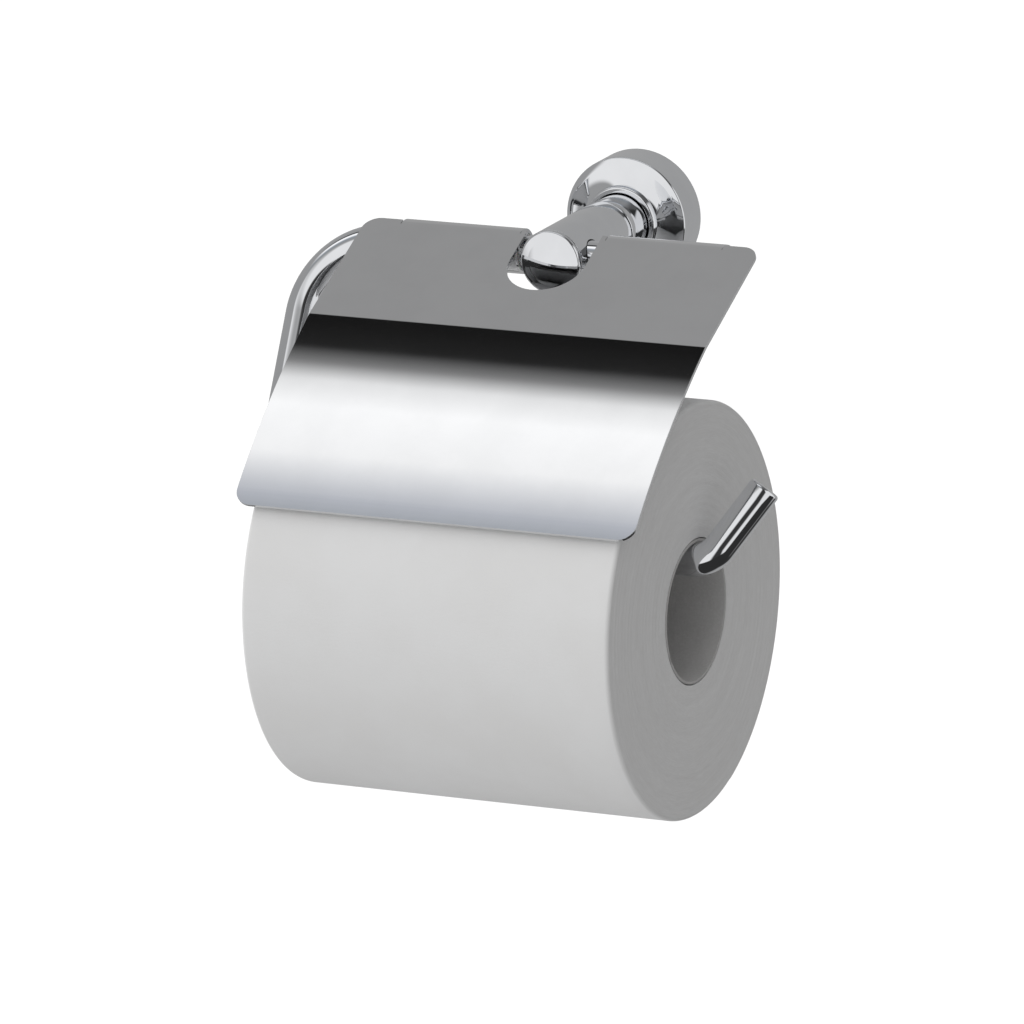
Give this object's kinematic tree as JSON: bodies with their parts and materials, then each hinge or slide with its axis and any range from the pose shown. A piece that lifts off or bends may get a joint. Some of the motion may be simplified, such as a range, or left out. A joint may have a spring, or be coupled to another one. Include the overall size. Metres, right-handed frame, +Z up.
{
  "type": "toilet paper holder",
  "caption": "Chrome wall-mounted toilet paper holder: round rosette and short post, bent rod with an upturned tip, hinged sheet cover, roll in place.",
  "frame": {"origin": "centre of the wall bracket's back face, on the surface of the wall", "axes": "+X right, seen from the room; +Y into the wall; +Z up"},
  "size_m": [0.1641, 0.1717, 0.17],
  "materials": {
    "chrome": "polished chrome plate",
    "cover_chrome": "polished sheet",
    "zinc": "bare zinc casting",
    "screw_steel": "zinc-plated steel",
    "nylon": "moulded nylon",
    "tissue": "soft embossed paper",
    "card": "wound board"
  },
  "bodies": {
    "holder": {"wall_bracket": "zinc", "wall_screw_left": "screw_steel", "wall_screw_right": "screw_steel", "rosette": "chrome", "rosette_grub_screw": "screw_steel", "post_collar": "chrome", "post_neck": "chrome", "post_stud": "screw_steel", "post_head": "chrome", "head_cap": "chrome", "rod_grub_screw": "screw_steel", "holder_rod": "chrome", "rod_end_cap": "chrome", "retaining_ring": "screw_steel"},
    "cover": {"cover_sheet": "cover_chrome", "hinge_liner_left": "nylon", "hinge_liner_right": "nylon"},
    "roll": {"roll_core": "card", "paper_roll": "tissue"}
  },
  "joints": [
    {"name": "cover_hinge", "type": "hinge", "parent": "holder", "child": "cover", "pos_m": [0, -0.0538, 0], "axis": [-1, 0, 0], "range_deg": [0, 149]},
    {"name": "roll_spin", "type": "hinge", "parent": "holder", "child": "roll", "pos_m": [0, -0.09552, -0.09042], "axis": [1, 0, 0], "continuous": true}
  ]
}
